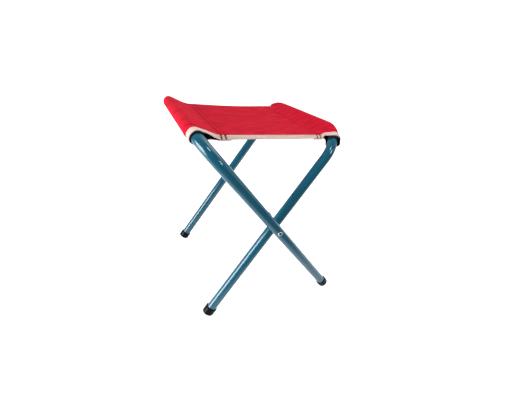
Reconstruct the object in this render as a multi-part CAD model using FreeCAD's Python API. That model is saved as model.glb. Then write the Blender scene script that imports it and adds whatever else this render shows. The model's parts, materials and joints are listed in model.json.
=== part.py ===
import FreeCAD, Part
import math
import os

# A folding camp stool in millimetres: two bent tube frames crossed in an X, hinged where
# their legs cross, with a fabric seat held between the two top bars by sewn sleeves.
# +Z is up and z = 0 is the floor. X runs from one foot pair to the other, Y runs along the
# top bars, and the origin is under the middle of the seat. The outer frame's top bar is at
# -X and its feet are at +X; the inner frame is the other way round.

V = FreeCAD.Vector

# ---- driving dimensions -------------------------------------------------------------
tube_r = 10.0             # both frames are 20 mm round tube
tube_wall = 1.2
bend_r = 56.0             # centreline radius of the corners below the top bars
top_x = 133.0             # top bar axis, distance from the middle
top_z = 374.0             # top bar axis, height
foot_x = 142.0            # end of a leg's axis, distance from the middle
foot_z = 5.3              # end of a leg's axis, height
outer_width = 347.4       # between the outer frame's leg axes
leg_gap = 2.3             # free gap between the outer and inner legs at the pivots

cap_r = 12.2              # moulded foot caps
cap_length = 17.0
cap_end = 4.0             # solid end under the tube
cap_round = 3.5
cap_rim = 0.8

rivet_r = 3.3             # tubular rivets, clinched on the outside of the stool
rivet_bore_r = 2.5
rivet_bore_depth = 14.0
rivet_clear = 0.08        # running clearance in what turns on the rivet
clinch_r = 4.6
clinch_height = 1.3
clinch_sink = 0.6         # how far the clinched ring sits into the tube wall
head_r = 6.0
head_height = 2.6
washer_r = 7.5            # saddle washer under the rivet head
washer_height = 1.2
spacer_r = 8.5            # saddle spacer between the two legs
spacer_height = 2.0
turn_gap = 0.3            # between faces that turn past each other

cloth = 1.0               # seat fabric
cloth_half = 132.0        # half the width of the seat panel
cloth_along = 140.0       # half the width of a sleeve, measured along the tube
lining_inner_r = 10.2     # black lining tube inside each sleeve
lining_outer_r = 10.9
lining_reach = 6.0        # how far the lining stands out of the sleeve, along the tube
sleeve_inner_r = 11.0
sag = 9.0                 # how far the middle of the seat hangs below the top bars
seat_lip = 0.5            # free gap between the seat panel and a sleeve
tape_width = 8.0          # binding tape, folded over the fabric's edge
tape_thick = 0.8

# ---- derived ------------------------------------------------------------------------
inner_width = outer_width - 2 * (2 * tube_r + leg_gap)
leg_run = foot_x + top_x
leg_drop = top_z - foot_z
leg_length = math.hypot(leg_run, leg_drop)
pivot_down = leg_length * top_x / leg_run
pivot_z = top_z - leg_drop * top_x / leg_run
sleeve_outer_r = sleeve_inner_r + cloth
Y_AXIS = V(0, 1, 0)


class Frame:
    """One U-shaped frame; side is -1 for the outer frame and +1 for the inner one."""

    def __init__(self, side, width):
        self.side = side
        self.half = width / 2
        self.top = V(side * top_x, 0, top_z)
        self.down = V(-side * leg_run, 0, -leg_drop).normalize()
        self.straight = self.half - bend_r

    def at(self, across, down):
        """A point in the frame's plane: along the top bar, and down the legs."""
        return self.top + Y_AXIS * across + self.down * down

    def on_bend(self, hand, angle):
        """A point on a corner's centreline, angle measured from the top bar."""
        turn = math.radians(angle)
        across = hand * (self.straight + bend_r * math.sin(turn))
        return self.at(across, bend_r * (1 - math.cos(turn)))

    def bend_tangent(self, hand, angle):
        """The tube's direction there, pointing away from the top bar's middle."""
        turn = math.radians(angle)
        return Y_AXIS * (hand * math.cos(turn)) + self.down * math.sin(turn)

    def angle_at(self, across):
        """The corner angle at a distance from the frame's middle plane."""
        return math.degrees(math.asin((across - self.straight) / bend_r))

    def path(self, angle_end, leg_end=None):
        """The centreline: legs, corners and bar, or only the part up to angle_end."""
        edges = []
        for hand in (-1, 1):
            start = self.on_bend(hand, 0)
            middle = self.on_bend(hand, angle_end / 2)
            end = self.on_bend(hand, angle_end)
            arc = Part.Arc(start, middle, end).toShape()
            leg = []
            if leg_end is not None:
                leg = [Part.LineSegment(end, self.at(hand * self.half, leg_end)).toShape()]
            edges.append([arc] + leg)
        bar = Part.LineSegment(self.on_bend(-1, 0), self.on_bend(1, 0)).toShape()
        return Part.Wire(list(reversed(edges[0])) + [bar] + edges[1])


def swept_tube(frame, outer_r, inner_r, angle_end, leg_end=None):
    """A round tube along a frame's centreline."""
    path = frame.path(angle_end, leg_end)
    if leg_end is None:
        start = frame.on_bend(-1, angle_end)
        along = frame.bend_tangent(-1, angle_end)
    else:
        start = frame.at(-frame.half, leg_end)
        along = frame.down
    solids = []
    for radius in (outer_r, inner_r):
        ring = Part.Wire([Part.Circle(start, along, radius).toShape()])
        solids.append(path.makePipeShell([ring], True, False))
    return solids[0].cut(solids[1])


def ring_on_bend(frame, hand, angle_from, angle_to, outer_r, inner_r):
    """A short curved sleeve round one corner, between two corner angles."""
    points = [frame.on_bend(hand, a)
              for a in (angle_from, (angle_from + angle_to) / 2, angle_to)]
    path = Part.Wire([Part.Arc(*points).toShape()])
    along = frame.bend_tangent(hand, angle_from)
    solids = []
    for radius in (outer_r, inner_r):
        ring = Part.Wire([Part.Circle(points[0], along, radius).toShape()])
        solids.append(path.makePipeShell([ring], True, False))
    return solids[0].cut(solids[1])


def pivot_cylinder(hand, radius, y_from, y_to):
    """A cylinder on the pivot axis, between two distances out from the middle plane."""
    base = V(0, hand * y_from, pivot_z)
    return Part.makeCylinder(radius, y_to - y_from, base, Y_AXIS * hand)


def leg_rod(frame, hand, radius):
    """A solid rod along one leg, to cut saddles that fit the tube."""
    top = frame.at(hand * frame.half, bend_r)
    return Part.makeCylinder(radius, leg_length - bend_r, top, frame.down)


outer_frame = Frame(-1, outer_width)
inner_frame = Frame(1, inner_width)


# ---- frames -------------------------------------------------------------------------
def frame_tube(frame, hole_r):
    tube = swept_tube(frame, tube_r, tube_r - tube_wall, 90, leg_length - cap_end)
    for hand in (-1, 1):
        near, far = frame.half - 2 * tube_r, frame.half + 2 * tube_r
        tube = tube.cut(pivot_cylinder(hand, hole_r, near, far))
    return tube


def outer_tube(frame):
    """The outer frame, with a shallow seat for the clinched end of each rivet."""
    tube = frame_tube(frame, rivet_r + 0.02)
    face = frame.half + tube_r
    for hand in (-1, 1):
        seat = pivot_cylinder(hand, clinch_r + 0.1, face - clinch_sink, face + tube_r)
        tube = tube.cut(seat)
    return tube


def foot_cap(frame, hand):
    """A moulded cap on a leg's end, with the flat that stands on the floor."""
    end = frame.at(hand * frame.half, leg_length)
    up = frame.down * -1
    body = Part.makeCylinder(cap_r, cap_length, end, up)
    end_edge = min(body.Edges, key=lambda e: (e.CenterOfMass - end).Length)
    body = body.makeFillet(cap_round, [end_edge])
    rim_centre = end + up * cap_length
    rim_edge = min(body.Edges, key=lambda e: (e.CenterOfMass - rim_centre).Length)
    body = body.makeChamfer(cap_rim, [rim_edge])
    body = body.cut(Part.makeCylinder(tube_r + 0.05, cap_length, end + up * cap_end, up))
    below = Part.makeBox(80, 80, 40, end + V(-40, -40, -40 - end.z))
    return body.cut(below)


# ---- pivots -------------------------------------------------------------------------
def rivet(outer, inner, hand):
    """A tubular rivet: shank, domed head inside the stool, clinched ring outside."""
    outside = outer.half + tube_r - clinch_sink
    inside = inner.half - tube_r - washer_height - turn_gap
    shank = pivot_cylinder(hand, rivet_r, inside, outside + clinch_height)
    ring = pivot_cylinder(hand, clinch_r, outside, outside + clinch_height)
    ring_edge = max(ring.Edges, key=lambda e: abs(e.CenterOfMass.y) + e.Length)
    ring = ring.makeFillet(clinch_height * 0.6, [ring_edge])
    bore_from = outside + clinch_height - rivet_bore_depth
    bore = pivot_cylinder(hand, rivet_bore_r, bore_from, outside + clinch_height + 1)
    head = pivot_cylinder(hand, head_r, inside - head_height, inside)
    head_edge = min(head.Edges, key=lambda e: abs(e.CenterOfMass.y) - e.Length)
    head = head.makeFillet(head_height * 0.8, [head_edge])
    return shank.fuse([ring, head]).cut(bore).removeSplitter()


def spacer(outer, inner, hand):
    """Saddle spacer: hollowed to the outer leg, flat towards the inner one."""
    flat = inner.half + tube_r + turn_gap
    body = pivot_cylinder(hand, spacer_r, flat, flat + spacer_height + tube_r)
    body = body.cut(leg_rod(outer, hand, tube_r))
    body = body.cut(pivot_cylinder(hand, spacer_r + 1, outer.half - tube_r / 2, outer.half + 9))
    return body.cut(pivot_cylinder(hand, rivet_r + 0.05, flat - 1, outer.half))


def saddle_washer(inner, hand):
    """Saddle washer: hollowed to the inner leg, flat towards the rivet's head."""
    flat = inner.half - tube_r - washer_height
    body = pivot_cylinder(hand, washer_r, flat, flat + washer_height + 3)
    body = body.cut(leg_rod(inner, hand, tube_r))
    return body.cut(pivot_cylinder(hand, rivet_r + rivet_clear, flat - 1, inner.half))


# ---- seat ---------------------------------------------------------------------------
def reach_angle(frame, extra):
    """The corner angle where the sleeve ends, plus a length along the tube."""
    return math.degrees((cloth_along + extra - frame.straight) / bend_r)


def sleeve(frame):
    return swept_tube(frame, sleeve_outer_r, sleeve_inner_r, reach_angle(frame, 0))


def lining(frame):
    angle = reach_angle(frame, lining_reach)
    return swept_tube(frame, lining_outer_r, lining_inner_r, angle)


def sleeve_bindings(frame):
    """The tape round both open ends of one sleeve."""
    angle_to = reach_angle(frame, 0)
    angle_from = angle_to - math.degrees(tape_width / bend_r)
    rings = [ring_on_bend(frame, hand, angle_from, angle_to,
                          sleeve_outer_r + tape_thick, sleeve_outer_r + 0.02)
             for hand in (-1, 1)]
    return Part.makeCompound(rings)


def corner_waste(frame, end_x, hand):
    """What is cut off a seat corner, where the top bar starts to bend down."""
    bent_by = abs(frame.on_bend(1, frame.angle_at(cloth_half)).x - frame.top.x)
    cut_x = frame.side * (end_x - bent_by - seat_lip)
    beyond_x = frame.side * 2 * end_x
    beyond_y = hand * 2 * cloth_half
    corner = [V(frame.side * end_x, hand * frame.straight, 0), V(cut_x, hand * cloth_half, 0),
              V(cut_x, beyond_y, 0), V(beyond_x, beyond_y, 0),
              V(beyond_x, hand * frame.straight, 0)]
    outline = Part.makePolygon(corner + [corner[0]])
    return Part.Face(outline).extrude(V(0, 0, 2 * top_z))


def seat_slab(thickness, y_from, y_to):
    """A slab that hangs in a shallow arc between the two sleeves."""
    end_x = top_x - sleeve_outer_r - tape_thick - seat_lip
    arcs = []
    for lift in (thickness / 2, -thickness / 2):
        ends = [V(s * end_x, y_from, top_z + lift) for s in (-1, 1)]
        middle = V(0, y_from, top_z - sag + lift)
        arcs.append((Part.Arc(ends[0], middle, ends[1]).toShape(), ends))
    (upper, top_ends), (lower, low_ends) = arcs
    sides = [Part.LineSegment(a, b).toShape() for a, b in zip(top_ends, low_ends)]
    face = Part.Face(Part.Wire([upper, sides[1], lower, sides[0]]))
    slab = face.extrude(V(0, y_to - y_from, 0))
    for frame in (outer_frame, inner_frame):
        for hand in (-1, 1):
            slab = slab.cut(corner_waste(frame, end_x, hand))
    return slab


def seat_panel():
    return seat_slab(cloth, -cloth_half, cloth_half)


def edge_binding(hand):
    """The tape folded over one edge of the seat panel."""
    inside = cloth_half - tape_width
    y_from, y_to = sorted((hand * inside, hand * (cloth_half + tape_thick)))
    tape = seat_slab(cloth + 2 * tape_thick, y_from, y_to)
    return tape.cut(seat_slab(cloth + 0.04, -cloth_half - 0.02, cloth_half + 0.02))


# ---- the stool ----------------------------------------------------------------------
sides = {"near": -1, "far": 1}
nodes = {
    "outer_frame_tube": outer_tube(outer_frame),
    "inner_frame_tube": frame_tube(inner_frame, rivet_r + rivet_clear),
    "seat_panel": seat_panel(),
}
for name, frame in (("outer", outer_frame), ("inner", inner_frame)):
    nodes[name + "_sleeve"] = sleeve(frame)
    nodes[name + "_sleeve_lining"] = lining(frame)
    nodes[name + "_sleeve_bindings"] = sleeve_bindings(frame)
    for place, hand in sides.items():
        nodes[name + "_foot_cap_" + place] = foot_cap(frame, hand)
for place, hand in sides.items():
    nodes["pivot_rivet_" + place] = rivet(outer_frame, inner_frame, hand)
    nodes["pivot_spacer_" + place] = spacer(outer_frame, inner_frame, hand)
    nodes["pivot_washer_" + place] = saddle_washer(inner_frame, hand)
    nodes["edge_binding_" + place] = edge_binding(hand)

os.makedirs("parts", exist_ok=True)
for name, shape in nodes.items():
    shape.exportStep(os.path.join("parts", name + ".step"))
    box = shape.BoundBox
    print("%-24s solids %d valid %s  x %.1f..%.1f  y %.1f..%.1f  z %.1f..%.1f" % (
        name, len(shape.Solids), shape.isValid(),
        box.XMin, box.XMax, box.YMin, box.YMax, box.ZMin, box.ZMax))
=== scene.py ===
import json
import math

import bpy
import numpy as np
from mathutils import Matrix, Vector


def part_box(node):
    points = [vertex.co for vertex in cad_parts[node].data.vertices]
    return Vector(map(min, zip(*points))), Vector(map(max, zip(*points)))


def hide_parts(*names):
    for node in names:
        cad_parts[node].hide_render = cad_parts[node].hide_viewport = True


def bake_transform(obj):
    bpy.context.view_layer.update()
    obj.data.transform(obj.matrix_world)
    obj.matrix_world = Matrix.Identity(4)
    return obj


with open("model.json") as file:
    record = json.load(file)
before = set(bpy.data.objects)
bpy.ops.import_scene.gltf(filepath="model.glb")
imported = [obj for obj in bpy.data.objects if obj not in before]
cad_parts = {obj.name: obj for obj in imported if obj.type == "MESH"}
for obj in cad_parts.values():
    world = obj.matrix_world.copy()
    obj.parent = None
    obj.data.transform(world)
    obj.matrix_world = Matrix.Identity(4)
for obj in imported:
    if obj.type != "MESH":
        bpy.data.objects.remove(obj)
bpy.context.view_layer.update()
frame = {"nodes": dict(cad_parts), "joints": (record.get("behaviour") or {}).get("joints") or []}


# ---- Bent steel frames --------------------------------------------------------------------
# Two U-shaped frames of 20 mm mild steel tube, cold bent, sprayed petrol blue and stoved.
# The enamel is a hard gloss skin that flowed nearly level, with a trace of orange peel.
MM = 0.001
tube_r = 10 * MM
bend_r = 56 * MM          # centreline radius of the corners below the top bars


def linear(hex_colour):
    """A six-digit sRGB hex colour as a linear RGBA tuple."""
    channels = [int(hex_colour[i:i + 2], 16) / 255 for i in (0, 2, 4)]
    return tuple(c / 12.92 if c <= 0.04045 else ((c + 0.055) / 1.055) ** 2.4
                 for c in channels) + (1.0,)


def add(tree, kind, sockets=None, **settings):
    """Adds a node, sets its properties, and fills its inputs with values or with links."""
    node = tree.nodes.new(kind)
    for name, value in settings.items():
        setattr(node, name, value)
    for socket, value in (sockets or {}).items():
        if isinstance(value, bpy.types.NodeSocket):
            tree.links.new(value, node.inputs[socket])
        else:
            node.inputs[socket].default_value = value
    return node


def new_material(name, **values):
    """A material with one Principled shader; the values go on the shader's own sockets."""
    material = bpy.data.materials.new(name)
    material.use_nodes = True
    tree = material.node_tree
    tree.nodes.clear()
    sockets = {key.replace("_", " "): value for key, value in values.items()}
    shader = add(tree, "ShaderNodeBsdfPrincipled", sockets)
    add(tree, "ShaderNodeOutputMaterial", {"Surface": shader.outputs[0]})
    return material, tree, shader


def dress(node_names, material):
    """Gives CAD nodes a finished material in place of their plain one."""
    for name in node_names:
        node = frame["nodes"][name]
        node.data.materials.clear()
        node.data.materials.append(material)


def stoved_enamel():
    """Deep petrol blue with a hard gloss, cloudy by a shade every few centimetres."""
    material, tree, shader = new_material("stoved_enamel_petrol_blue", IOR=1.5)
    place = add(tree, "ShaderNodeTexCoord").outputs["Object"]
    cloud = add(tree, "ShaderNodeTexNoise", {"Vector": place, "Scale": 1 / (45 * MM)})
    colour = add(tree, "ShaderNodeMix", {"Factor": cloud.outputs[0], "A": linear("064f64"),
                                         "B": linear("0b5d76")}, data_type="RGBA")
    tree.links.new(colour.outputs["Result"], shader.inputs["Base Color"])
    gloss = add(tree, "ShaderNodeMapRange", {"Value": cloud.outputs[0], "To Min": 0.08,
                                             "To Max": 0.13})
    tree.links.new(gloss.outputs[0], shader.inputs["Roughness"])
    peel = add(tree, "ShaderNodeTexNoise", {"Vector": place, "Scale": 1 / (2.5 * MM)})
    raised = add(tree, "ShaderNodeBump", {"Height": peel.outputs[0], "Distance": 0.0015 * MM})
    tree.links.new(raised.outputs[0], shader.inputs["Normal"])
    return material


dress(["outer_frame_tube", "inner_frame_tube"], stoved_enamel())


# ---- Foot caps ----------------------------------------------------------------------------
# Injection-moulded soft PVC caps pushed over the tube ends. Black, with the low shine of a
# finely eroded mould, and scuffed dull low down where they meet the ground.
def moulded_pvc():
    """A deep black with a soft highlight, duller and a touch greyer where it has rubbed."""
    material, tree, shader = new_material("moulded_soft_pvc_black", Specular_IOR_Level=0.08)
    place = add(tree, "ShaderNodeTexCoord").outputs["Object"]
    height = add(tree, "ShaderNodeSeparateXYZ", {"Vector": place}).outputs["Z"]
    low = add(tree, "ShaderNodeMapRange", {"Value": height, "From Min": 0.0,
                                           "From Max": 14 * MM, "To Min": 1.0, "To Max": 0.0})
    rubs = add(tree, "ShaderNodeTexNoise", {"Vector": place, "Scale": 1 / (4 * MM),
                                            "Detail": 5.0})
    worn = add(tree, "ShaderNodeMath", {0: low.outputs[0], 1: rubs.outputs[0]},
               operation="MULTIPLY")
    colour = add(tree, "ShaderNodeMix", {"Factor": worn.outputs[0], "A": linear("050607"),
                                         "B": linear("101111")}, data_type="RGBA")
    tree.links.new(colour.outputs["Result"], shader.inputs["Base Color"])
    shine = add(tree, "ShaderNodeMapRange", {"Value": worn.outputs[0], "To Min": 0.22,
                                             "To Max": 0.5})
    tree.links.new(shine.outputs[0], shader.inputs["Roughness"])
    grain = add(tree, "ShaderNodeTexNoise", {"Vector": place, "Scale": 1 / (0.8 * MM)})
    raised = add(tree, "ShaderNodeBump", {"Height": grain.outputs[0], "Distance": 0.04 * MM})
    tree.links.new(raised.outputs[0], shader.inputs["Normal"])
    return material


sides = ("near", "far")
dress([f"{name}_foot_cap_{side}" for name in ("outer", "inner") for side in sides],
      moulded_pvc())


# ---- Pivots -------------------------------------------------------------------------------
# Tubular steel rivets, bright zinc plated and clinched over outside the stool, with a
# zinc saddle washer under each head and a moulded black nylon saddle between the legs.
def zinc_plate():
    """Bright zinc over rolled steel: pale grey with a faint cloudy spangle."""
    material, tree, shader = new_material("zinc_plated_steel", Metallic=1.0, Roughness=0.32)
    place = add(tree, "ShaderNodeTexCoord").outputs["Object"]
    spangle = add(tree, "ShaderNodeTexVoronoi", {"Vector": place, "Scale": 1 / (1.6 * MM)})
    colour = add(tree, "ShaderNodeMix", {"Factor": spangle.outputs["Distance"],
                                         "A": linear("e6e9ea"), "B": linear("c3c7c9")},
                 data_type="RGBA")
    tree.links.new(colour.outputs["Result"], shader.inputs["Base Color"])
    raised = add(tree, "ShaderNodeBump", {"Height": spangle.outputs["Distance"],
                                          "Distance": 0.02 * MM})
    tree.links.new(raised.outputs[0], shader.inputs["Normal"])
    return material


def moulded_nylon():
    """Glass-filled nylon: black, dull and very slightly mottled."""
    material, tree, shader = new_material("moulded_nylon_black", Roughness=0.55, IOR=1.53)
    place = add(tree, "ShaderNodeTexCoord").outputs["Object"]
    mottle = add(tree, "ShaderNodeTexNoise", {"Vector": place, "Scale": 1 / (0.7 * MM)})
    colour = add(tree, "ShaderNodeMix", {"Factor": mottle.outputs[0], "A": linear("131415"),
                                         "B": linear("202223")}, data_type="RGBA")
    tree.links.new(colour.outputs["Result"], shader.inputs["Base Color"])
    return material


dress([f"pivot_{piece}_{side}" for piece in ("rivet", "washer") for side in sides],
      zinc_plate())
dress([f"pivot_spacer_{side}" for side in sides], moulded_nylon())


# ---- Seat canvas --------------------------------------------------------------------------
# One width of red polyester canvas. Each end goes round a top bar and is sewn back to its
# underside with two rows, which makes the sleeves; the middle is pulled flat between them.
# It is in pieces that meet in the outer stitched groove, where the seat creases on folding.
canvas = 0.8 * MM         # thickness
half_width = 140.5 * MM   # half the cut width
flat_half = 131 * MM      # beyond this the weight of the tape curls the edge down
curl_over = 5 * MM        # it takes this much canvas to curl
curl_angle = math.radians(46)
askew = 1.7 * MM          # the sleeves have slid this far along the bars, one each way
tuck = 0.9 * MM           # the lower layer is pulled up this much between bar and seam
twist = 1.0 * MM          # two opposite corners of the panel ride higher by this
far_lift = 2.8 * MM       # and its whole far edge by this
groove_depth = 1.4 * MM   # how far a stitched row pulls the canvas in
sleeve_r = 11.7 * MM      # radius of the canvas round the lining
seam_in = 40 * MM         # outer stitched row, inboard of the bar's axis
row_gap = 7 * MM          # between the two rows
hem = 8 * MM              # canvas beyond the inner row
seam_drop = 4.2 * MM      # the panel lies this far below the bar's axis
middle_sag = 2.0 * MM     # in the open middle; the near taped edge is pulled straight
bar_grip = 10 * MM        # from here inboard the canvas lets go of the bar's bend


class Bar:
    """A top bar with its two bends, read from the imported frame; side is -1 outer, +1 inner."""

    def __init__(self, node, side):
        low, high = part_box(node)
        pivot = np.array(frame["joints"][0]["pos_m"])
        middle = low.x + tube_r if side < 0 else high.x - tube_r
        self.axis = np.array((middle, 0, high.z - tube_r))
        self.straight = high.y - tube_r - bend_r
        down = pivot - self.axis
        self.down = down / np.linalg.norm(down)
        self.inboard = np.array((-side, 0, 0))
        self.square = np.cross(self.down, (0, 1, 0))

    def at(self, along):
        """The tube's centre at distances along it, and its turned inboard and up directions."""
        hand = np.where(along < 0, -1, 1)[..., None]
        turn = np.maximum(np.abs(along) - self.straight, 0) / bend_r
        sin, cos = np.sin(turn)[..., None], np.cos(turn)[..., None]
        y_axis = np.array((0, 1, 0))
        reach = np.minimum(np.abs(along), self.straight)[..., None]
        centre = self.axis + hand * y_axis * (reach + bend_r * sin)
        centre = centre + self.down * bend_r * (1 - cos)
        outer = -self.down * cos + hand * y_axis * sin
        turned = [outer * -(way @ self.down) + self.square * (way @ self.square)
                  for way in (self.inboard, np.array((0, 0, 1)))]
        return centre, turned[0], turned[1]


bars = {-1: Bar("outer_frame_tube", -1), 1: Bar("inner_frame_tube", 1)}
bar_x = bars[1].axis[0]
bar_z = bars[1].axis[2]
seam_x = bar_x - seam_in


def smooth(t):
    """Eases from 0 to 1 as t does, and stays level outside."""
    t = np.clip(t, 0, 1)
    return t * t * (3 - 2 * t)


def bezier(points, count):
    """Points along a cubic curve."""
    t = np.linspace(0, 1, count)[:, None]
    a, b, c, d = (np.array(p) for p in points)
    return (1 - t) ** 3 * a + 3 * t * (1 - t) ** 2 * b + 3 * t ** 2 * (1 - t) * c + t ** 3 * d


def loop_profile():
    """The sleeve's section from the seam over the bar, round it and back under to the hem.

    Columns are the distance inboard of the bar's axis and the height above it. The layer
    sewn under the seam is drawn two thicknesses of canvas below the panel, just clear of it.
    Also gives the points where the canvas leaves the bar's underside and reaches the seam.
    """
    seam = np.array((seam_in, -seam_drop))
    under = seam - (0, 2 * canvas)
    start, end = math.radians(65), math.radians(297)
    turn = np.linspace(start, end, 60)[:, None]
    wrap = sleeve_r * np.hstack((np.cos(turn), np.sin(turn)))
    leave = np.array((math.sin(start), -math.cos(start)))
    arrive = np.array((-math.sin(end), math.cos(end)))
    top = bezier((seam, seam + (-8 * MM, 0), wrap[0] + leave * 14 * MM, wrap[0]), 40)
    back = bezier((wrap[-1], wrap[-1] + arrive * 12 * MM, under + (-7 * MM, 0), under), 40)
    tail = under + np.array([(d, 0) for d in np.linspace(0, row_gap + hem, 8)])
    bottom = len(top) + len(wrap) - 3
    return np.vstack((top, wrap[1:-1], back, tail[1:])), bottom, bottom + len(back)


profile, bottom_index, seam_index = loop_profile()
run = np.concatenate(([0], np.cumsum(np.linalg.norm(np.diff(profile, axis=0), axis=1))))
bottom_run = run[bottom_index]        # canvas from the seam to the underside of the bar
loop_run = run[seam_index]            # canvas in one whole sleeve
hem_run = run[-1]


def puckers(q, t, inboard):
    """Tension lines along the canvas, and small gathers at the stitched rows. Waves in mm."""
    x, y = q / MM, t / MM
    tension = (0.55 * np.sin(y / 4.3 + 0.9 * np.sin(x / 41) + 0.4)
               + np.sin(y / 7.1 + 1.3 * np.sin(x / 57 + 1.1) + 2.0)
               + 1.3 * np.sin(y / 12.9 + x / 150 + 0.6 * np.sin(x / 37)))
    slack = 0.4 + 0.6 * np.clip(1 - (q / seam_x) ** 2, 0, 1)
    rows = np.exp(-((np.abs(q) - seam_x + row_gap / 2) / (9 * MM)) ** 2)
    gathers = np.sin(y / 1.9 + 1.7 * np.sin(y / 13)) + 0.7 * np.sin(y / 3.3 + q * 90)
    free = smooth((inboard - 4 * MM) / (24 * MM))
    return (0.24 * tension * slack + 0.16 * gathers * rows) * MM * free


def groove(q):
    """Each stitched row pulls the canvas in along a narrow groove."""
    rows = sum(np.exp(-((np.abs(q) - row) / (1.5 * MM)) ** 2)
               for row in (seam_x, seam_x - row_gap))
    return groove_depth * rows


easy_fit = 0.2 * MM       # a mouth stands off its place by this
tight_fit = -0.5 * MM     # or by this at the inner bar's near mouth
lip_rise = 4.5 * MM
bridge_rise = 8.5 * MM


def stand_off(q, t, inboard, height):
    """How far the canvas stands off a bar. The inner bar's near mouth is tight but for a lip
    outboard; over its far bend the canvas bridges straight on, clear of the tube's top."""
    near_inner = (q > 0) & (t < 0)
    far_inner = (q > 0) & (t > 0)
    mouth = smooth((np.abs(t) - 100 * MM) / (38 * MM))
    fit = np.where(near_inner, tight_fit, easy_fit)
    wave = 0.3 * MM * np.sin(inboard / (3.1 * MM) + t / (6 * MM))
    lip = smooth((np.abs(t) - 126 * MM) / (14 * MM)) * np.clip(-inboard / sleeve_r, 0, 1)
    bridge = smooth((t - 96 * MM) / (46 * MM)) * smooth((height / sleeve_r + 0.4) / 1.4)
    return (mouth * (fit + wave) + np.where(near_inner, lip_rise * lip, 0)
            + np.where(far_inner, bridge_rise * bridge, 0))


def canvas_at(q, t):
    """A point of the canvas: q along it from the seat's middle, t across it."""
    # its section, which is the panel, the loop round a bar and the hem
    side = np.where(q < 0, -1, 1)
    beyond = np.maximum(np.abs(q) - seam_x, 0)
    on_panel = beyond <= 0
    inboard = np.where(on_panel, bar_x - np.abs(q), np.interp(beyond, run, profile[:, 0]))
    height = np.interp(beyond, run, profile[:, 1])
    under = np.clip((beyond - bottom_run) / (loop_run - bottom_run), 0, 1)

    # sag, lift, puckers and grooves, and the lower layer's tuck at the mouths
    top_side = 1 - smooth((beyond - 0.45 * bottom_run) / (0.4 * bottom_run))
    taut = (np.minimum(t, 0) / half_width) ** 2
    sag = np.where(on_panel, middle_sag * (1 - (q / seam_x) ** 2) * (1 - taut), 0)
    level = twist * np.clip(q / seam_x, -1, 1) * t / half_width + far_lift * smooth(t / flat_half)
    level = level * smooth((inboard - 8 * MM) / (seam_in - 8 * MM))
    height = height + level - sag + (puckers(q, t, inboard) - groove(q)) * top_side
    mouth = smooth((np.abs(t) - 112 * MM) / (20 * MM))
    height = height + tuck * np.sin(math.pi * under) * mouth

    # the edge curls down, and the sleeves have slid along their bars
    over = np.maximum(np.abs(t) - flat_half, 0)
    curling = np.minimum(over, curl_over)
    angle = curl_angle * curling / curl_over
    radius = curl_over / curl_angle
    out = radius * np.sin(angle) + (over - curling) * math.cos(curl_angle)
    drop = radius * (1 - np.cos(angle)) + (over - curling) * math.sin(curl_angle)
    slid = askew * np.clip(q / bar_x, -1, 1)
    y = np.sign(t) * (np.minimum(np.abs(t), flat_half) + out) + slid
    t = t + slid
    flat = np.stack((side * (bar_x - inboard), y, bar_z + height - drop), axis=-1)

    # near a bar the canvas follows its bends, and stands off a little at the mouths
    length = np.hypot(inboard, height)
    grown = 1 + stand_off(q, t, inboard, height) * np.exp(-(length / (30 * MM)) ** 4) / length
    round_bar = np.empty_like(flat)
    for bar_side, bar in bars.items():
        centre, inward, up = bar.at(t)
        point = centre + (inward * inboard[..., None] + up * height[..., None]) * grown[..., None]
        round_bar[side == bar_side] = point[side == bar_side]
    hold = 1 - smooth((inboard - bar_grip) / (seam_in - bar_grip))
    return flat + (round_bar - flat) * hold[..., None]


def canvas_normal(q, t):
    """The canvas's normal, which points up on the panel and outwards round a bar."""
    step = 0.2 * MM
    along = canvas_at(q + step, t) - canvas_at(q - step, t)
    across = canvas_at(q, t + step) - canvas_at(q, t - step)
    normal = np.cross(along, across)
    return normal / np.linalg.norm(normal, axis=-1, keepdims=True)


def spaced(start, end, step):
    """Evenly spaced values about a step apart, with both ends."""
    return np.linspace(start, end, max(2, round(abs(end - start) / step) + 1))


def new_piece(name, points, faces, flat_size=None):
    """A piece at the origin, with its place in its mesh and its flat size as its UV map."""
    mesh = bpy.data.meshes.new(name)
    mesh.from_pydata(points, [], faces)
    if flat_size is not None:
        uv = mesh.uv_layers.new(name="flat_size")
        corners = np.empty(len(mesh.loops), dtype=np.int64)
        mesh.loops.foreach_get("vertex_index", corners)
        uv.data.foreach_set("uv", flat_size[corners].astype(np.float32).ravel())
    mesh.shade_smooth()
    mesh.set_sharp_from_angle(angle=math.radians(50))
    piece = bpy.data.objects.new(name, mesh)
    bpy.context.scene.collection.objects.link(piece)
    return piece


def grid(q_values, t_values):
    """Every pairing of the two, with a row for each q."""
    return np.meshgrid(q_values, t_values, indexing="ij")


def cloth_shell(name, q, t, thickness, offset=0):
    """A cloth with thickness over a grid of the canvas, or offset from it along its normal."""
    normal = canvas_normal(q, t)
    middle = canvas_at(q, t) + normal * np.atleast_2d(offset)[..., None]
    rows, columns = q.shape
    count = rows * columns
    index = np.arange(count).reshape(rows, columns)
    points = np.concatenate([(middle + normal * thickness * s).reshape(-1, 3)
                             for s in (0.5, -0.5)])
    top = np.stack((index[:-1, :-1], index[1:, :-1], index[1:, 1:], index[:-1, 1:]),
                   -1).reshape(-1, 4)
    rim = np.concatenate((index[:-1, 0], index[-1, :-1], index[:0:-1, -1], index[0, :0:-1]))
    ahead = np.roll(rim, -1)
    walls = np.stack((rim + count, ahead + count, ahead, rim), -1)
    faces = np.concatenate((top, top[:, ::-1] + count, walls))
    flat_size = np.tile(np.stack((q, t), -1).reshape(-1, 2), (2, 1))
    return new_piece(name, points.tolist(), faces.tolist(), flat_size)


# Slubs are thick places in the yarn, a few centimetres long and one thread wide. They are
# drawn several threads wide so that they show.
slub_length = 31.25 * MM
slub_spacing = 5.88 * MM
weave_hollow_painted_shade = 0.2         # how much painted shade darkens the weave's hollows


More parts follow.
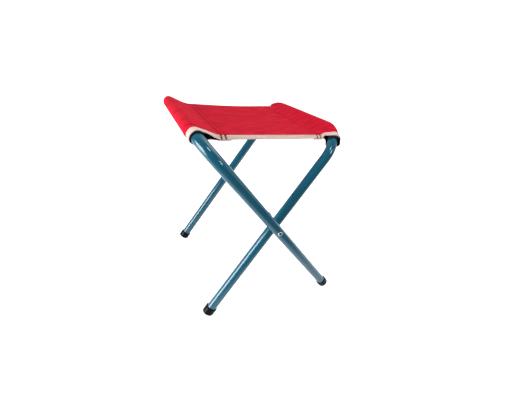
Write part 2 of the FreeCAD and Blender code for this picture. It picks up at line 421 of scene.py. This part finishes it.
def woven_cloth(name, dark, light, thread, depth, **values):
    """Plain weave on the cloth's flat size, its hollows darkened by painted shade, with slubs
    that run along it.
    """
    material, tree, shader = new_material(name, **values)
    flat = add(tree, "ShaderNodeUVMap", uv_map="flat_size").outputs[0]
    split = add(tree, "ShaderNodeSeparateXYZ", {"Vector": flat})
    waves = []
    for axis in ("X", "Y"):
        turn = add(tree, "ShaderNodeMath", {0: split.outputs[axis], 1: math.pi / thread},
                   operation="MULTIPLY")
        waves.append(add(tree, "ShaderNodeMath", {0: turn.outputs[0]}, operation="SINE"))
    crossing = add(tree, "ShaderNodeMath", {0: waves[0].outputs[0], 1: waves[1].outputs[0]},
                   operation="MULTIPLY")
    height = add(tree, "ShaderNodeMath", {0: crossing.outputs[0], 1: 0.5, 2: 0.5},
                 operation="MULTIPLY_ADD")
    along = add(tree, "ShaderNodeMapping",
                {"Vector": flat, "Scale": (1 / slub_length, 1 / slub_spacing, 1)})
    slub = add(tree, "ShaderNodeTexNoise", {"Vector": along.outputs[0], "Scale": 1.0,
                                            "Detail": 4.0})
    streak = add(tree, "ShaderNodeMapRange", {"Value": slub.outputs[0], "From Min": 0.35,
                                              "From Max": 0.65, "To Min": 0.0, "To Max": 0.75})
    # Painted shade: the weave's hollows are mixed towards the dark colour. The slubs' streaks are
    # the yarn's own tone.
    mixed = add(tree, "ShaderNodeMath",
                {0: height.outputs[0], 1: weave_hollow_painted_shade, 2: streak.outputs[0]},
                operation="MULTIPLY_ADD")
    colour = add(tree, "ShaderNodeMix", {"Factor": mixed.outputs[0], "A": linear(dark),
                                         "B": linear(light)}, data_type="RGBA")
    tree.links.new(colour.outputs["Result"], shader.inputs["Base Color"])
    raised = add(tree, "ShaderNodeBump", {"Height": height.outputs[0], "Distance": depth})
    tree.links.new(raised.outputs[0], shader.inputs["Normal"])
    return material


# Solution-dyed polyester: a matt, faintly streaky red. Plain woven from 0.5 mm yarn, and
# drawn at 0.9 mm so that it shows.
red_canvas = woven_cloth("polyester_canvas_red", "b00e24", "dc1a37", 0.9 * MM, 0.12 * MM,
                         Roughness=0.85, Specular_IOR_Level=0.05)
widths = np.concatenate((spaced(-half_width, -flat_half, 1 * MM)[:-1],
                         spaced(-flat_half, flat_half, 2.5 * MM),
                         spaced(flat_half, half_width, 1 * MM)[1:]))
panel_q = spaced(-seam_x, seam_x, 2 * MM)
sleeve_q = spaced(seam_x, seam_x + loop_run, 1.6 * MM)
hem_q = spaced(seam_x + loop_run, seam_x + hem_run, 2.5 * MM)


def turn_with_frames(piece):
    """Bakes the piece's placing into its mesh."""
    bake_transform(piece)


def finish_cloth(piece, material):
    """Gives a cloth its material and bakes its placing into its mesh."""
    piece.data.materials.append(material)
    turn_with_frames(piece)
    return piece


cloth = {}
for part, q_values in (("panel", panel_q), ("outer_sleeve", -sleeve_q[::-1]),
                       ("inner_sleeve", sleeve_q)):
    cloth[part] = cloth_shell(f"seat_canvas_{part}", *grid(q_values, widths), canvas)
for part, piece in cloth.items():
    finish_cloth(piece, red_canvas)
hems = [cloth_shell("seat_canvas_outer_hem", *grid(-hem_q[::-1], widths), canvas),
        cloth_shell("seat_canvas_inner_hem", *grid(hem_q, widths), canvas)]
for piece in hems:
    finish_cloth(piece, red_canvas)
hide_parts("seat_panel")
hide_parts("outer_sleeve")
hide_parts("inner_sleeve")


# ---- Sleeve linings -----------------------------------------------------------------------
# A strip of black woven polyester inside each sleeve saves the canvas from the tube. It
# stands out of the mouths round the bar, furthest and loosest at the inner near corner.
# Each size by corner is for (bar, end): bar -1 outer or 1 inner, end -1 near or 1 far.
lining = 0.5 * MM         # thickness
lining_short = 3 * MM     # the strip stops this far from each seam
lining_inset = canvas / 2 + lining / 2 + 0.1 * MM
near_edge = 14 * MM       # this close to the canvas's edge the grid follows the lining's own
# How far the lining stands out past the canvas; how far by the seam, where minus is inside;
# the share of it lost on top of the bar; and how loosely the lining stands round the tube.
lining_reach = {(-1, -1): 4 * MM, (-1, 1): 4 * MM, (1, -1): 12 * MM, (1, 1): 4 * MM}
reach_by_seam = {(-1, -1): 0.5 * MM, (-1, 1): -10 * MM, (1, -1): -10 * MM, (1, 1): -10 * MM}
reach_lost_on_top = {(-1, -1): 0.1, (-1, 1): 0.0, (1, -1): 0.55, (1, 1): 0.0}
lining_loose = {(-1, -1): 0.5 * MM, (-1, 1): 0.8 * MM, (1, -1): 1.2 * MM, (1, 1): 1.5 * MM}


def lining_grid(q_values, side):
    """A grid whose edges reach out past the canvas round the bar, and less towards the seam."""
    inboard = np.interp(np.abs(q_values) - seam_x, run, profile[:, 0])
    by_seam = smooth((inboard - 10 * MM) / (7 * MM))[:, None]
    slant = 1 + 0.35 * np.clip(inboard / sleeve_r, -1, 1)[:, None]
    height = np.interp(np.abs(q_values) - seam_x, run, profile[:, 1])
    over_bar = smooth(height / sleeve_r)[:, None]
    inner = half_width - near_edge
    steps = np.linspace(0, 1, 15)[1:]
    edges = []
    for hand in (-1, 1):
        reach = lining_reach[side, hand] * slant * (1 - over_bar * reach_lost_on_top[side, hand])
        reach = reach + (reach_by_seam[side, hand] - reach) * by_seam
        edges.append(hand * (inner + steps * (near_edge + reach)))
    middle = spaced(-inner, inner, 4 * MM)
    middle = np.broadcast_to(middle, (len(q_values), len(middle)))
    t = np.hstack((edges[0][:, ::-1], middle, edges[1]))
    return np.broadcast_to(q_values[:, None], t.shape), t


def lining_offset(q, t):
    """Just inside the canvas; past its edge the lining bells out, a little unevenly."""
    past = smooth((np.abs(t) - half_width + 1 * MM) / (9 * MM))
    loose = np.zeros_like(t)
    for (side, hand), by in lining_loose.items():
        loose = np.where((np.sign(q) == side) & (np.sign(t) == hand), by, loose)
    wave = 1 + 0.35 * np.sin(q / (6.5 * MM)) + 0.2 * np.sin(q / (3.7 * MM) + 1)
    return -lining_inset + past * loose * wave


# Polyester lining cloth: dull black that hides its own weave. Plain woven from 0.3 mm yarn,
# and drawn at 0.8 mm so that it shows.
black_lining = woven_cloth("woven_polyester_black", "08090a", "141516", 0.8 * MM, 0.1 * MM,
                           Roughness=0.9, Specular_IOR_Level=0.2)
lining_q = spaced(seam_x + lining_short, seam_x + loop_run - lining_short, 2 * MM)
for name, side in (("outer", -1), ("inner", 1)):
    q, t = lining_grid(-lining_q[::-1] if side < 0 else lining_q, side)
    piece = cloth_shell(f"{name}_sleeve_lining_cloth", q, t, lining, lining_offset(q, t))
    finish_cloth(piece, black_lining)
    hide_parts(f"{name}_sleeve_lining")


# ---- Edge tape ----------------------------------------------------------------------------
# Cream cotton tape folded over the cut edges of the canvas, in one length along each edge
# and round the mouths of the sleeves, pressed flat with a soft round fold. It is in pieces
# that meet where the canvas pieces do.
tape_width = 7.3 * MM     # on each face of the canvas
tape = 0.35 * MM          # thickness
tape_in = half_width - tape_width


def tape_section():
    """The folded tape's section: distance across the canvas, and distance off it."""
    off = canvas / 2 + tape
    fold = [(half_width + off * math.sin(a), off * math.cos(a))
            for a in np.linspace(0, math.pi, 7)]
    upper = [(tape_in, canvas / 2 + 0.05 * MM), (tape_in + 0.35 * MM, off)]
    upper += [(tape_in + tape_width * s, off) for s in (0.2, 0.36, 0.52, 0.68, 0.84)]
    return np.array(upper + fold + [(across, -height) for across, height in upper[::-1]])


def tape_mesh(name, q_values, hand):
    """The tape along one edge of the canvas, closed at its ends."""
    section = tape_section()
    columns = len(section)
    q, across = grid(q_values, section[:, 0])
    edge = hand * np.minimum(across, half_width)
    base = canvas_at(q, edge)
    outward = base - canvas_at(q, edge - hand * 0.3 * MM)
    outward = outward / np.linalg.norm(outward, axis=-1, keepdims=True)
    swell = 1 + 0.12 * np.sin(q / (2.3 * MM)) * np.sin(across / (1.7 * MM))
    off = np.broadcast_to(section[:, 1], q.shape) * swell
    points = base + outward * (across - hand * edge)[..., None]
    points = points + canvas_normal(q, edge) * off[..., None]
    rows = len(q_values)
    index = np.arange(rows * columns).reshape(rows, columns)
    ahead = np.roll(index, -1, axis=1)
    faces = np.stack((index[:-1], ahead[:-1], ahead[1:], index[1:]), -1).reshape(-1, 4)
    ends = [index[0][::-1].tolist(), index[-1].tolist()]
    if hand > 0:
        faces = faces[:, ::-1]
        ends = [end[::-1] for end in ends]
    girth = np.concatenate(([0], np.cumsum(np.linalg.norm(np.diff(section, axis=0), axis=1))))
    flat_size = np.stack(grid(q_values, girth), -1).reshape(-1, 2)
    return new_piece(name, points.reshape(-1, 3).tolist(), faces.tolist() + ends, flat_size)


# Cotton herringbone tape: soft, matt and warm cream. Its yarn is 0.35 mm, drawn as a 0.7 mm
# plain weave so that it shows.
cream_tape = woven_cloth("cotton_tape_cream", "cfb3a8", "e8d0c8", 0.7 * MM, 0.1 * MM,
                         Roughness=0.9, Specular_IOR_Level=0.1)
tape_runs = {"outer_sleeve": {"outer_sleeve": -sleeve_q[::-1]},
             "inner_sleeve": {"inner_sleeve": sleeve_q},
             "panel": {"panel": panel_q, "outer_hem": -hem_q[::-1], "inner_hem": hem_q}}
for hand, place in ((-1, "near"), (1, "far")):
    for part, runs in tape_runs.items():
        for run_name, q_values in runs.items():
            piece = tape_mesh(f"edge_tape_{run_name}_{place}", q_values, hand)
            finish_cloth(piece, cream_tape)
for place in sides:
    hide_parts(f"edge_binding_{place}")
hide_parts("outer_sleeve_bindings")
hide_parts("inner_sleeve_bindings")

for part in ("outer_sleeve", "inner_sleeve"):
    name = part.split("_")[0]


# ---- Stitching ----------------------------------------------------------------------------
# Red bonded thread in two rows through both layers of each seam, with a zigzag bar tack at each
# end of a row, across the tape; cream thread through both sides of the tape. The red thread is
# the canvas's own red with painted shade: it is coloured far darker, as the shade along the
# stitched rows.
def new_tree(name, sizes):
    """An empty geometry tree with named inputs: the rows to sew, its sizes, and a thread."""
    tree = bpy.data.node_groups.new(name, "GeometryNodeTree")
    kinds = [("Rows", "NodeSocketGeometry")] + [(size, "NodeSocketFloat") for size in sizes]
    for label, kind in kinds + [("Thread", "NodeSocketMaterial")]:
        tree.interface.new_socket(name=label, in_out="INPUT", socket_type=kind)
    tree.interface.new_socket(name="Sewn", in_out="OUTPUT", socket_type="NodeSocketGeometry")
    return tree, add(tree, "NodeGroupInput").outputs


def running_stitch():
    """Plump stitches end to end along each row, with a gap where the thread goes down."""
    tree, given = new_tree("running_stitch", ("Stitch length", "Pitch", "Thread width"))
    row = add(tree, "GeometryNodeMeshToCurve", {"Mesh": given["Rows"]})
    holes = add(tree, "GeometryNodeResampleCurve",
                {"Curve": row.outputs[0], "Length": given["Pitch"]}, mode="LENGTH")
    along = add(tree, "GeometryNodeInputTangent")
    turned = add(tree, "FunctionNodeAlignRotationToVector", {"Vector": along.outputs[0]},
                 axis="Z")
    stitch = add(tree, "GeometryNodeMeshUVSphere", {"Segments": 8, "Rings": 6, "Radius": 0.5})
    plump = add(tree, "GeometryNodeSetShadeSmooth", {"Geometry": stitch.outputs["Mesh"]})
    size = add(tree, "ShaderNodeCombineXYZ", {"X": given["Thread width"],
                                              "Y": given["Thread width"],
                                              "Z": given["Stitch length"]})
    placed = add(tree, "GeometryNodeInstanceOnPoints",
                 {"Points": holes.outputs[0], "Instance": plump.outputs[0],
                  "Rotation": turned.outputs[0], "Scale": size.outputs[0]})
    real = add(tree, "GeometryNodeRealizeInstances", {"Geometry": placed.outputs[0]})
    done = add(tree, "GeometryNodeSetMaterial", {"Geometry": real.outputs[0],
                                                 "Material": given["Thread"]})
    add(tree, "NodeGroupOutput", {"Sewn": done.outputs[0]})
    return tree


def laid_thread():
    """A continuous round thread along each row, for the zigzag tacks."""
    tree, given = new_tree("laid_thread", ("Thread width",))
    row = add(tree, "GeometryNodeMeshToCurve", {"Mesh": given["Rows"]})
    half = add(tree, "ShaderNodeMath", {0: given["Thread width"], 1: 0.5},
               operation="MULTIPLY")
    section = add(tree, "GeometryNodeCurvePrimitiveCircle",
                  {"Resolution": 6, "Radius": half.outputs[0]})
    thread = add(tree, "GeometryNodeCurveToMesh",
                 {"Curve": row.outputs[0], "Profile Curve": section.outputs[0],
                  "Fill Caps": True})
    even = add(tree, "GeometryNodeSetShadeSmooth", {"Geometry": thread.outputs[0]})
    real = add(tree, "GeometryNodeRealizeInstances", {"Geometry": even.outputs[0]})
    done = add(tree, "GeometryNodeSetMaterial", {"Geometry": real.outputs[0],
                                                 "Material": given["Thread"]})
    add(tree, "NodeGroupOutput", {"Sewn": done.outputs[0]})
    return tree


def sew(name, rows, tree, **inputs):
    """Sews rows of points with a tree, and keeps the result as a plain mesh."""
    points, edges = [], []
    for row in rows:
        edges += [(i, i + 1) for i in range(len(points), len(points) + len(row) - 1)]
        points += row.tolist()
    mesh = bpy.data.meshes.new(name)
    mesh.from_pydata(points, edges, [])
    piece = bpy.data.objects.new(name, mesh)
    bpy.context.scene.collection.objects.link(piece)
    sewing = piece.modifiers.new("sewing", "NODES")
    sewing.node_group = tree
    values = {label.replace("_", " "): value for label, value in inputs.items()}
    for item in tree.interface.items_tree:
        if item.in_out == "INPUT" and item.name in values:
            sewing[item.identifier] = values[item.name]
    evaluated = piece.evaluated_get(bpy.context.evaluated_depsgraph_get())
    piece.data = bpy.data.meshes.new_from_object(evaluated)
    piece.modifiers.clear()
    return piece


def bonded_thread(name, dark, light):
    """Three-ply bonded polyester thread: smooth, with a faint sheen, shaded by its twist."""
    material, tree, shader = new_material(name, Roughness=0.5, Specular_IOR_Level=0.3)
    place = add(tree, "ShaderNodeTexCoord").outputs["Object"]
    plies = add(tree, "ShaderNodeTexNoise", {"Vector": place, "Scale": 1 / (0.5 * MM)})
    colour = add(tree, "ShaderNodeMix", {"Factor": plies.outputs[0], "A": linear(dark),
                                         "B": linear(light)}, data_type="RGBA")
    tree.links.new(colour.outputs["Result"], shader.inputs["Base Color"])
    return material


def row_on(q, t, off):
    """Points on one face of the canvas; off is positive on the outside of a sleeve."""
    q, t = np.broadcast_arrays(q, t)
    return canvas_at(q, t) + canvas_normal(q, t) * off


# Painted shade: the red thread's colours are much darker than the canvas's red, standing in for
# the shade along the stitched rows and tacks.
red_thread_painted_shade = bonded_thread("bonded_thread_red_painted_shade", "4a0810", "74101c")
cream_thread = bonded_thread("bonded_thread_cream", "c9b7a2", "e4d5c2")
stitch_tree = running_stitch()
tack_tree = laid_thread()

# The real thread is about 0.3 mm thick. It is drawn more than twice that so that it shows.
stitch = {"Stitch_length": 2.7 * MM, "Pitch": 3.2 * MM, "Thread_width": 0.8 * MM}
row_t = spaced(-tape_in, tape_in, 1.5 * MM)
row_places = (0, row_gap)             # the outer and the inner row
seam_rows = []
for side in (-1, 1):
    for gap in row_places:
        seam_rows.append(row_on(side * (seam_x - gap), row_t, canvas / 2 + 0.02 * MM))
        seam_rows.append(row_on(side * (seam_x + loop_run + gap), row_t, canvas / 2))
seams = sew("seam_stitching", seam_rows, stitch_tree, Thread=red_thread_painted_shade, **stitch)
turn_with_frames(seams)

tack_half = 1.6 * MM      # half a tack's width along the seat
tack_steps = 20           # points of its zigzag across the tape
tack_rows = []
for side in (-1, 1):
    for gap in row_places:
        for hand in (-1, 1):
            t = hand * np.linspace(tape_in - 1 * MM, half_width, tack_steps)
            swing = tack_half * np.where(np.arange(tack_steps) % 2, 1, -1)
            for q in (seam_x - gap, seam_x + loop_run + gap + tack_half):
                tack_rows.append(row_on(side * q + swing, t, canvas / 2 + tape + 0.1 * MM))
tacks = sew("bar_tacks", tack_rows, tack_tree, Thread=red_thread_painted_shade, Thread_width=0.7 * MM)
turn_with_frames(tacks)

tape_t = tape_in + 1.7 * MM           # the tape's row is this far from its inner edge
tape_off = canvas / 2 + tape
for part, runs in tape_runs.items():
    faces = (1, -1) if part == "panel" else (1,)
    rows = [row_on(runs[part], hand * tape_t, face * tape_off)
            for hand in (-1, 1) for face in faces]
    piece = sew(f"tape_stitching_{part}", rows, stitch_tree, Thread=cream_thread, **stitch)
    turn_with_frames(piece)


# ---- Studio -------------------------------------------------------------------------------
# A white floor that runs back into a bright white sweep, in a dim room: the gloss picks up
# the sweep along the tubes' edges. A broad key high on the right, a low box on the left that
# draws the long streaks down the legs, and two small boxes by the camera.
def studio_floor():
    """White board, painted brighter to the back: painted shade darkens its colour to the front,
    and as painted light it glows towards the back in reflections. To the camera it glows white.
    """
    reach = 60.0
    unlit = 0.3               # share of its painted light that the front of the floor has
    corners = [(-reach, -reach, 0), (reach, -reach, 0), (reach, reach, 0), (-reach, reach, 0)]
    floor = new_piece("studio_floor", corners, [(0, 1, 2, 3)])
    material, tree, shader = new_material("matt_white_board", Roughness=0.9,
                                          Specular_IOR_Level=0.0)
    place = add(tree, "ShaderNodeTexCoord").outputs["Object"]
    tooth = add(tree, "ShaderNodeTexNoise", {"Vector": place, "Scale": 1 / (25 * MM)})
    colour = add(tree, "ShaderNodeMix", {"Factor": tooth.outputs[0], "A": linear("e9e9e9"),
                                         "B": linear("f0f0f0")}, data_type="RGBA")
    back = add(tree, "ShaderNodeSeparateXYZ", {"Vector": place}).outputs["Y"]
    lit = add(tree, "ShaderNodeMapRange", {"Value": back, "From Min": -0.45,
                                           "From Max": -0.25, "To Min": unlit,
                                           "To Max": 1.0})
    # Painted shade: the board's colour is scaled darker towards the front.
    shaded = add(tree, "ShaderNodeVectorMath", {0: colour.outputs["Result"],
                                                "Scale": lit.outputs[0]}, operation="SCALE")
    tree.links.new(shaded.outputs[0], shader.inputs["Base Color"])
    rays = add(tree, "ShaderNodeLightPath").outputs
    # Painted light: the board glows in glossy rays, more towards the back.
    gloss = add(tree, "ShaderNodeMath", {0: lit.outputs[0], 1: -unlit}, operation="ADD")
    gloss = add(tree, "ShaderNodeMath", {0: gloss.outputs[0], 1: rays["Is Glossy Ray"]},
                operation="MULTIPLY")
    glow = add(tree, "ShaderNodeMath", {0: rays["Is Camera Ray"], 1: 0.98, 2: gloss.outputs[0]},
               operation="MULTIPLY_ADD")
    shader.inputs["Emission Color"].default_value = linear("ffffff")
    tree.links.new(glow.outputs[0], shader.inputs["Emission Strength"])
    floor.data.materials.append(material)


def studio_world():
    """A white sweep behind the stool, dim behind the camera."""
    to_sweep = (0.56, 0.83, 0.0)
    world = bpy.data.worlds.new("studio_sweep")
    bpy.context.scene.world = world
    world.use_nodes = True
    tree = world.node_tree
    tree.nodes.clear()
    way = add(tree, "ShaderNodeTexCoord").outputs["Generated"]
    behind = add(tree, "ShaderNodeVectorMath", {0: way, 1: to_sweep}, operation="DOT_PRODUCT")
    strength = add(tree, "ShaderNodeMapRange", {"Value": behind.outputs["Value"],
                                                "From Min": -0.3, "From Max": 0.25,
                                                "To Min": 0.24, "To Max": 0.84})
    seen = add(tree, "ShaderNodeLightPath").outputs["Is Camera Ray"]
    full = add(tree, "ShaderNodeMath", {0: seen, 1: 0.8, 2: strength.outputs[0]},
               operation="MULTIPLY_ADD")
    sweep = add(tree, "ShaderNodeBackground", {"Color": linear("ffffff"),
                                               "Strength": full.outputs[0]})
    add(tree, "ShaderNodeOutputWorld", {"Surface": sweep.outputs[0]})


def soft_box(name, place, size, power):
    """A rectangular light turned to the stool: its width and height, and its watts."""
    light = bpy.data.lights.new(name, "AREA")
    light.shape = "RECTANGLE"
    light.size, light.size_y = size
    light.energy = power
    box = bpy.data.objects.new(name, light)
    box.location = place
    aim = Vector((0, 0, 0.25)) - Vector(place)
    box.rotation_euler = aim.to_track_quat("-Z", "Y").to_euler()
    bpy.context.scene.collection.objects.link(box)


def studio_camera():
    """A wide lens held close above one corner and rolled a little."""
    camera = bpy.data.cameras.new("camera")
    camera.sensor_width = 36
    camera.lens = 18.1
    camera.shift_x = -0.0835
    camera.shift_y = 0.0454
    camera.clip_start = 0.01
    eye = (-0.1996, -0.5526, 0.4806)
    azimuth, pitch, roll = (math.radians(angle) for angle in (34.04, 31.33, 8.03))
    forward = Vector((math.sin(azimuth) * math.cos(pitch), math.cos(azimuth) * math.cos(pitch),
                      -math.sin(pitch)))
    level = Vector((math.cos(azimuth), -math.sin(azimuth), 0))
    right = level * math.cos(roll) + level.cross(forward) * math.sin(roll)
    up = right.cross(forward)
    holder = bpy.data.objects.new("camera", camera)
    turned = Matrix((right, up, -forward)).transposed().to_4x4()
    holder.matrix_world = Matrix.Translation(eye) @ turned
    bpy.context.scene.collection.objects.link(holder)
    bpy.context.scene.camera = holder


studio_floor()
studio_world()
soft_box("key", (1.0, 0.1, 1.6), (1.2, 1.2), 10)
soft_box("over_camera", (-0.12, -1.0, 1.75), (0.3, 0.3), 5)
soft_box("front_fill", (0.75, -1.5, 1.0), (0.3, 0.3), 6.5)
soft_box("low_left", (-1.5, -0.25, 0.40), (0.85, 0.76), 27)
studio_camera()
bpy.context.scene.view_settings.view_transform = "Standard"
